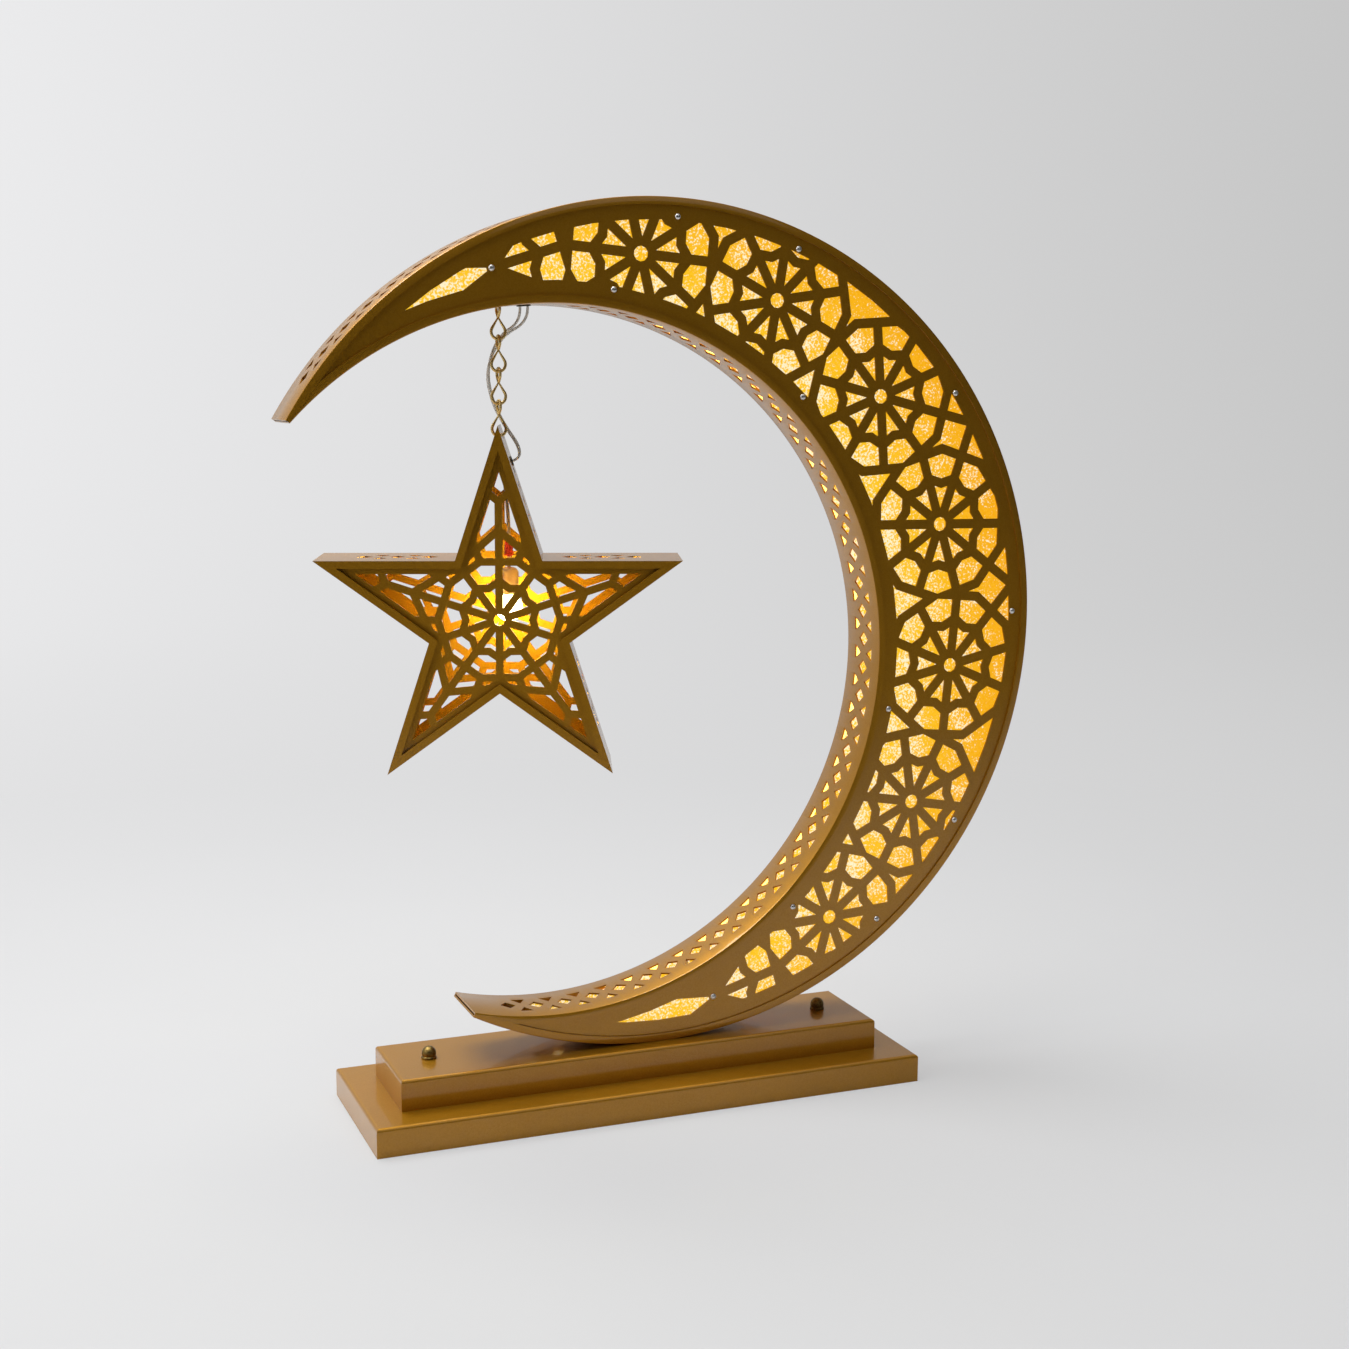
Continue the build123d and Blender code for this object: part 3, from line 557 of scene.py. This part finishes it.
# Name, colour, roughness, metallic, grain scale, grain depth, smudge depth and relief by slot
plain_finishes = {
    "antique_brass": ("antique_brass", (0.17, 0.1, 0.03), 0.3, 0.95, 500.0, 0.2, 0.4, 0.05),
    "base_cover": ("black_paint", (0.03, 0.03, 0.03), 0.5, 0.0, 700.0, 0.15, 0.2, 0.1),
    "steel": ("zinc_steel", (0.5, 0.5, 0.48), 0.35, 1.0, 900.0, 0.15, 0.2, 0.05),
    "rivet": ("bright_rivet", (0.75, 0.75, 0.74), 0.25, 1.0, 900.0, 0.1, 0.1, 0.03),
    "chain": ("chain_wire", (0.74, 0.53, 0.2), 0.36, 0.85, 900.0, 0.1, 0.2, 0.05),
    "driver_case": ("driver_case", (0.75, 0.75, 0.72), 0.5, 0.0, 800.0, 0.08, 0.1, 0.1),
    "lead": ("lead_jacket", (0.5, 0.48, 0.42), 0.35, 0.0, 500.0, 0.1, 0.1, 0.05),
    "rubber": ("rubber", (0.03, 0.03, 0.03), 0.65, 0.0, 800.0, 0.1, 0.2, 0.15),
    "connector": ("red_connector", (0.6, 0.02, 0.015), 0.3, 0.0, 600.0, 0.08, 0.1, 0.05),
    "lamp_holder": ("lamp_holder", (0.8, 0.74, 0.6), 0.4, 0.0, 600.0, 0.08, 0.1, 0.05),
}
finish = {slot: grained(*values)[0] for slot, values in plain_finishes.items()}
finish["gold_paint"] = gold_paint()
finish["diffuser"] = flecked_diffuser()
finish["led_strip"] = lit("led_strip", (1.0, 0.5, 0.08), 6.0, 0.3)
finish["clear_cable"] = clear_cable()
finish["bulb"] = lit("bulb_glass", (1.0, 0.86, 0.42), 14.0, 0.15)
for part in frame["record"]["subparts"]:
    skin = nodes[part["node"]].data
    skin.materials.clear()
    skin.materials.append(finish[part["material_slot"]])


# Rims of the crescent: a lattice strip bent round a circle, folded to a flange at both faces
def horn_point(way):
    run = (outer_radius**2 - inner_radius**2 + circle_offset**2) / (2 * circle_offset)
    rise = sqrt(outer_radius**2 - run**2)
    back = Vector((-cos(crescent_lean), 0, -sin(crescent_lean)))
    across = Vector((-sin(crescent_lean), 0, cos(crescent_lean)))
    return outer_centre + back * run + across * way * rise


def bearing(place, centre):
    """Angle of a place about a centre, counted in radians from straight right."""
    return Vector((1, 0)).angle_signed(Vector((place.x - centre.x, -(place.z - centre.z))))


def rim_span(centre, radius):
    """Angles at which a rim starts at the lower horn and ends at the upper one."""
    short = 2 * asin(horn_cut / (2 * radius))
    return bearing(horn_point(-1), centre) + short, bearing(horn_point(1), centre) - short


def flange_width(centre, radius, angle, way):
    """Width of the fold at an angle, narrowed where the horns leave it less room."""
    direction = Vector((cos(angle), 0, sin(angle)))
    for step in range(flange_steps + 1):
        width = rim_flange * step / flange_steps
        place = centre + direction * (radius + way * width)
        if way < 0 and (place - inner_centre).length < inner_radius + rim_sheet:
            return width
        if way > 0 and (place - outer_centre).length > outer_radius - rim_flange:
            return width
    return rim_flange


def rim(name, node, centre, radius, way, plain):
    """One rim. Way is 1 where the fold turns away from the circle's middle, -1 towards it."""
    low, high = rim_span(centre, radius)
    cells = round((high - low) * radius / lattice_pitch)
    pitch = (high - low) * radius / cells
    edge = face_depth - fold_radius
    points = []
    faces = []

    def bent(along, across, inward=0.0):
        angle = low + along / radius
        reach = radius + way * inward
        return centre + Vector((reach * cos(angle), across, reach * sin(angle)))

    whole = [not plain(low + (k + 0.5) * pitch / radius) for k in range(cells)]
    whole[0] = False
    whole[-1] = False
    for k in range(cells):
        start = k * pitch
        outline = [(start, -edge), (start + pitch, -edge), (start + pitch, edge), (start, edge)]
        slices = []
        for step in range(1, slices_per_cell):
            along = start + pitch * step / slices_per_cell
            slices.append(((along, -edge), (along, edge)))
        openings = []
        if whole[k]:
            openings = lattice_openings(start + pitch / 2, pitch, not whole[k - 1], not whole[k + 1])
        flat, triangles = pierced_sheet(outline, openings, slices)
        first = len(points)
        points += [bent(p.x, p.y) for p in flat]
        faces += [tuple(first + corner for corner in triangle) for triangle in triangles]

    steps = cells * slices_per_cell
    for side in (-1, 1):
        first = len(points)
        for step in range(steps + 1):
            along = (high - low) * radius * step / steps
            width = flange_width(centre, radius, low + along / radius, way)
            width = max(width, least_flange)
            points.append(bent(along, side * edge))
            fold_edge = side * (edge + fold_radius * fold_rise)
            points.append(bent(along, fold_edge, fold_radius * fold_reach))
            points.append(bent(along, side * face_depth, fold_radius))
            points.append(bent(along, side * face_depth, width))
        for step in range(steps):
            for row in range(3):
                a = first + step * 4 + row
                quad = (a, a + 1, a + 5, a + 4)
                faces.append(quad if side > 0 else tuple(reversed(quad)))

    piece = new_piece(name, *welded(points, faces), "stand", "gold_paint")
    thicken(piece, rim_sheet, lambda place: (place - centre) * -way)
    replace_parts(piece, node)


def near_seat(angle):
    return abs(outer_radius * cos(angle)) < seat_reach and sin(angle) < 0


def near_hanger(angle):
    place = inner_centre.x + inner_radius * cos(angle)
    return hanger_left < place < hanger_right and sin(angle) > 0


rim("outer_rim_strip", "outer_rim", outer_centre, outer_radius, -1, near_seat)
rim("inner_rim_strip", "inner_rim", inner_centre, inner_radius, 1, near_hanger)


# Back plate, pierced as the front one, and the rivets of both
def back_plate():
    mesh = nodes["front_plate"].data.copy()
    mesh.transform(Matrix.Translation((0, plate_step, 0)))
    plate = bpy.data.objects.new("back_plate_pierced", mesh)
    bpy.context.scene.collection.objects.link(plate)
    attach(plate, "stand")
    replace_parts(plate, "back_plate")


def rivets(name, places, axis):
    shapes = [turned(rivet_profile, place, axis, 20) for place in places]
    return new_piece(name, *joined(*shapes), "stand", "rivet", 50)


back_plate()
plate_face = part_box("front_plate")[0].y
rivet_places = [Vector((c.x, plate_face, c.z)) for c in separate_centres("front_rivets")]
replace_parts(rivets("front_rivet_domes", rivet_places, (0, -1, 0)), "front_rivets")
back_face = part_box("back_plate")[1].y
back_places = [Vector((p.x, back_face, p.z)) for p in rivet_places]
rivets("back_rivet_domes", back_places, (0, 1, 0))


# Finials: a low dome on a round flange
def finial_domes():
    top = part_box("upper_plinth")[1].z
    profile = list(finial_flange)
    for step in range(-3, 15):
        angle = radians(step * 6 - 2)
        profile.append((dome_middle + dome_rise * sin(angle), dome_reach * cos(angle)))
    shapes = [turned(profile, (way * finial_place, 0, top), (0, 0, 1), 36) for way in (-1, 1)]
    piece = new_piece("finial_domes", *joined(*shapes), "stand", "antique_brass", 50)
    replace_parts(piece, "finials")


finial_domes()


# Chain links of round wire
def loop_path(radius, length):
    """Pear-shaped loop from the waist round its far end and back: side and distance."""
    middle = length - radius
    lean_in = asin(radius / middle)
    path = [(0.0, 0.0)]
    for step in range(21):
        angle = -lean_in + (pi + 2 * lean_in) * step / 20
        path.append((radius * cos(angle), middle + radius * sin(angle)))
    return path


def chain_link(number):
    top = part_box(f"chain_link_{number}")[1].z - chain_wire / 2
    waist = Vector((hang_x, 0, top - link_waist))
    upper = [waist + Vector((0, side, along)) for side, along in loop_path(upper_loop, link_waist)]
    low_loop = loop_path(lower_loop, link_length - link_waist)
    lower = [waist + Vector((side, 0, -along)) for side, along in low_loop]
    shapes = [tube(path, chain_wire / 2, 12, True) for path in (upper, lower)]
    name = f"link_{number}_wire"
    piece = new_piece(name, *joined(*shapes), f"link_{number}", "chain", 60)
    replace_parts(piece, f"chain_link_{number}")


for number in range(1, link_count + 1):
    chain_link(number)


# Star: five bent arms with a lattice in their walls
star_middle = Vector((hang_x, 0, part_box("star_arm_top")[1].z - star_radius))
star_right = Vector((cos(star_yaw), sin(star_yaw), 0))
star_back = Vector((-sin(star_yaw), cos(star_yaw), 0))


def in_star(across, up, back):
    return star_middle + star_right * across + Vector((0, 0, up)) + star_back * back


def arm_corner(inset, way):
    """Tip and re-entrant corner of the upright arm's outline, drawn in by an inset."""
    tip = star_radius - inset / sin(star_half_angle)
    notch = tip * sin(star_half_angle) / sin(3 * star_half_angle)
    corner = Vector((way * notch * sin(2 * star_half_angle), notch * cos(2 * star_half_angle)))
    return Vector((0, tip)), corner


def star_arm(number, arm):
    turn = Matrix.Rotation(radians(72 * number), 2)
    half = star_depth / 2
    points = []
    faces = []
    for way in (-1, 1):
        tip, corner = arm_corner(0, way)
        tip_in, corner_in = arm_corner(star_flange, way)
        length = (tip - corner).length
        middle = length / 2 - star_lattice_shift
        openings = []
        for k in (-1, 0, 1):
            place = middle + k * star_lattice_pitch
            openings += lattice_openings(place, star_lattice_pitch, k < 0, k > 0)
        if arm == "top":
            low = length - (star_hang + slot_below) / cos(star_half_angle)
            high = length - (star_hang - slot_above) / cos(star_half_angle)
            slot = [(low, -slot_half), (high, -slot_half), (high, slot_half), (low, slot_half)]
            openings.append(slot)
        outline = [(0, -half), (length, -half), (length, half), (0, half)]
        flat, triangles = pierced_sheet(outline, openings)
        first = len(points)
        for place in flat:
            spot = turn @ (corner + (tip - corner) * place.x / length)
            points.append(in_star(spot.x, spot.y, place.y))
        ordered = [t if way > 0 else tuple(reversed(t)) for t in triangles]
        faces += [tuple(first + corner for corner in t) for t in ordered]
        for side in (-1, 1):
            first = len(points)
            for spot in (corner, tip, tip_in, corner_in):
                flat_spot = turn @ spot
                points.append(in_star(flat_spot.x, flat_spot.y, side * half))
            faces.append(tuple(range(first, first + 4)))
    piece = new_piece(f"arm_{arm}_walls", *welded(points, faces), "star", "gold_paint")
    axis = turn @ Vector((0, star_radius / 2))
    heart = in_star(axis.x, axis.y, 0)
    thicken(piece, star_sheet, lambda place: place - heart)
    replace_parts(piece, f"star_arm_{arm}")


for number, arm in enumerate(arm_names):
    star_arm(number, arm)


# Lamp: globe, holder and connector on one upright axis
def lamp_piece(name, node, slot, profile, foot, sides, angle=35):
    piece = new_piece(name, *turned(profile, foot, (0, 0, 1), sides), "star", slot, angle)
    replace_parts(piece, node)
    return piece


def bulb_globe(middle, radius):
    profile = [(radius * -cos(radians(a)), radius * sin(radians(a))) for a in range(4, 158, 8)]
    profile.append((radius * 1.02, radius * 0.45))
    return lamp_piece("bulb_globe", "lamp_bulb", "bulb", profile, middle, 32, 60)


def holder_body(middle):
    low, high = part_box("lamp_holder")
    length = high.z - low.z
    heights = (0.0, 0.0008, 0.006, 0.0068, 0.0078, 0.0086, length - 0.004, length - 0.0012, length)
    shares = (0.9, 1.0, 1.0, 0.88, 0.88, 1.0, 1.0, 0.8, 0.5)
    profile = [(height, holder_radius * share) for height, share in zip(heights, shares)]
    foot = Vector((middle.x, middle.y, low.z))
    lamp_piece("holder_body", "lamp_holder", "lamp_holder", profile, foot, 28)


def connector_sleeve(middle):
    low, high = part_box("wire_connector")
    length = high.z - low.z
    wide = length * connector_share
    profile = [(0.0, wide * 0.7), (0.0006, wide * 0.95), (0.0016, wide)]
    for k in range(connector_ribs):
        rib = rib_pitch * (k + 1)
        profile.append((rib, wide * (0.98 - 0.03 * k)))
        profile.append((rib + rib_pitch / 2, wide * (0.88 - 0.03 * k)))
    profile += [(length - 0.0015, wide * 0.8), (length, wide * 0.5)]
    foot = Vector((middle.x, middle.y, low.z))
    lamp_piece("connector_sleeve", "wire_connector", "connector", profile, foot, 24)


def lamp():
    low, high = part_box("lamp_bulb")
    middle = (low + high) / 2
    radius = (high.z - low.z) / 2
    bulb = bulb_globe(middle, radius)
    bulb.visible_shadow = False
    holder_body(middle)
    connector_sleeve(middle)
    light = bpy.data.lights.new("bulb_light", "POINT")
    light.energy = 0.9
    light.color = (1.0, 0.95, 0.35)
    light.shadow_soft_size = radius
    lamp_object = bpy.data.objects.new("bulb_light", light)
    lamp_object.location = middle
    lamp_object.parent = bulb
    bpy.context.scene.collection.objects.link(lamp_object)


lamp()


# Two-core cable, cut where it bends from one link to the next
def core_line(name, side):
    """Smooth line through the cable's route, offset to one core."""
    route = [Vector(p) + Vector(o) * side for p, o in zip(cable_route, core_offsets)]
    data = bpy.data.curves.new(name, "CURVE")
    data.dimensions = "3D"
    spline = data.splines.new("NURBS")
    spline.points.add(len(route) - 1)
    for point, place in zip(spline.points, route):
        point.co = (*place, 1)
    spline.order_u = 3
    spline.use_endpoint_u = True
    spline.resolution_u = 24
    draft = bpy.data.objects.new(name, data)
    mesh = bpy.data.meshes.new_from_object(draft)
    line = [v.co.copy() for v in mesh.vertices]
    bpy.data.objects.remove(draft)
    bpy.data.curves.remove(data)
    bpy.data.meshes.remove(mesh)
    return line


def cable_core(name, side):
    """One core in five stretches, the last of which runs into the star."""
    line = core_line(name, side)
    runs = [0.0]
    for before, place in zip(line, line[1:]):
        runs.append(runs[-1] + (place - before).length)
    link_stretch = (runs[-1] - first_stretch - star_stretch) / (link_count - 1)
    ends = [first_stretch + k * link_stretch for k in range(link_count)] + [runs[-1]]
    pieces = []
    first = 0
    for k, end in enumerate(ends):
        last = next(index for index, run in enumerate(runs) if run >= end)
        path = line[first : last + 1]
        shape = tube(path, core_diameter / 2, core_sides)
        piece = new_piece(f"{name}_{k + 1}", *shape, None, "clear_cable", 60)
        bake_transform(piece)
        pieces.append(piece)
        first = last
    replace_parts(pieces[0], "star_cable")


cable_core("core_a", -1)
cable_core("core_b", 1)


# Pale floor that rises into a backdrop all round, and soft light
def pale_paper():
    """Paper that takes shadows near the object, glows pale further off with painted shade darker
    towards the right, and is dark before the camera.
    """
    material = bpy.data.materials.new("pale_paper")
    material.use_nodes = True
    tree = material.node_tree
    shader = tree.nodes["Principled BSDF"]
    shader.inputs["Roughness"].default_value = 0.9
    shader.inputs["Specular IOR Level"].default_value = 0.1
    place = tree.nodes.new("ShaderNodeNewGeometry").outputs["Position"]
    parts = put(tree, "ShaderNodeSeparateXYZ", Vector=place)
    fibre = put(tree, "ShaderNodeTexNoise", Vector=place, Scale=3.0, Detail=6.0)
    paper = mixed(tree, fibre.outputs["Fac"], (0.54, 0.542, 0.546, 1), (0.58, 0.582, 0.585, 1))
    before = ranged(tree, parts.outputs["Y"], -0.9, -1.9, 0.0, 1.0)
    tree.links.new(mixed(tree, before, paper, (0.03, 0.03, 0.03, 1)), shader.inputs["Base Color"])
    # Painted shade: the pale glow of the far paper is graded darker towards the camera's right
    across = put(tree, "ShaderNodeVectorMath", Vector=place)
    across.operation = "DOT_PRODUCT"
    across.inputs[1].default_value = (cos(camera_azimuth), sin(camera_azimuth), 0)
    shade = ranged(tree, across.outputs["Value"], -2.0, 2.0, 0.0, 1.0)
    painted_shade_tone = mixed(tree, shade, (0.83, 0.83, 0.84, 1), (0.57, 0.57, 0.57, 1))
    pale_glow_and_painted_shade = put(tree, "ShaderNodeEmission", Color=painted_shade_tone)
    reach = put(tree, "ShaderNodeVectorMath", Vector=place)
    reach.operation = "LENGTH"
    far = ranged(tree, reach.outputs["Value"], 0.55, 1.5, 0.63, 1.0)
    ray = tree.nodes.new("ShaderNodeLightPath")
    camera_ray = ray.outputs["Is Camera Ray"]
    through = combined(tree, "MAXIMUM", camera_ray, ray.outputs["Is Transmission Ray"])
    behind = ranged(tree, parts.outputs["Y"], 0.2, 1.2, 0.0, 0.5)
    mirrored = combined(tree, "MULTIPLY", ray.outputs["Is Glossy Ray"], behind)
    direct = combined(tree, "MAXIMUM", through, mirrored)
    both = put(tree, "ShaderNodeMixShader", Fac=combined(tree, "MULTIPLY", direct, far))
    tree.links.new(shader.outputs[0], both.inputs[1])
    tree.links.new(pale_glow_and_painted_shade.outputs[0], both.inputs[2])
    tree.links.new(both.outputs[0], tree.nodes["Material Output"].inputs["Surface"])
    return material


def studio():
    profile = [(0.0, 0.0), (floor_reach, 0.0)]
    for step in range(1, 13):
        angle = radians(7.5 * step)
        reach = floor_reach + sweep_radius * sin(angle)
        profile.append((reach, sweep_radius - sweep_radius * cos(angle)))
    profile.append((floor_reach + sweep_radius, wall_height))
    points = []
    for reach, height in profile:
        for k in range(floor_sides):
            angle = 2 * pi * k / floor_sides
            points.append((reach * cos(angle), reach * sin(angle), height - floor_drop))
    faces = ring_faces(len(profile), floor_sides)
    mesh = bpy.data.meshes.new("floor_sweep")
    mesh.from_pydata(points, [], faces)
    mesh.shade_smooth()
    floor = bpy.data.objects.new("floor_sweep", mesh)
    bpy.context.scene.collection.objects.link(floor)
    mesh.materials.append(pale_paper())


def softbox(name, place, target, size, energy):
    light = bpy.data.lights.new(name, "AREA")
    light.size = size
    light.energy = energy
    box = bpy.data.objects.new(name, light)
    box.location = place
    box.rotation_mode = "QUATERNION"
    box.rotation_quaternion = (Vector(target) - Vector(place)).to_track_quat("-Z", "Y")
    bpy.context.scene.collection.objects.link(box)


def light_the_room():
    world = bpy.data.worlds.new("studio")
    bpy.context.scene.world = world
    world.use_nodes = True
    sky = world.node_tree.nodes["Background"]
    sky.inputs["Color"].default_value = (0.8, 0.81, 0.83, 1)
    sky.inputs["Strength"].default_value = 0.7
    softbox("top_softbox", (-0.6, 0.5, 2.6), target=(0, 0, 0.3), size=2.2, energy=105)
    softbox("left_softbox", (-2.4, -0.6, 1.6), target=(0, 0, 0.35), size=1.4, energy=18)
    softbox("front_softbox", (0.9, -2.3, 2.0), target=(0.1, 0, 0.6), size=1.2, energy=3)


studio()
light_the_room()
bpy.context.scene.view_settings.view_transform = "Standard"
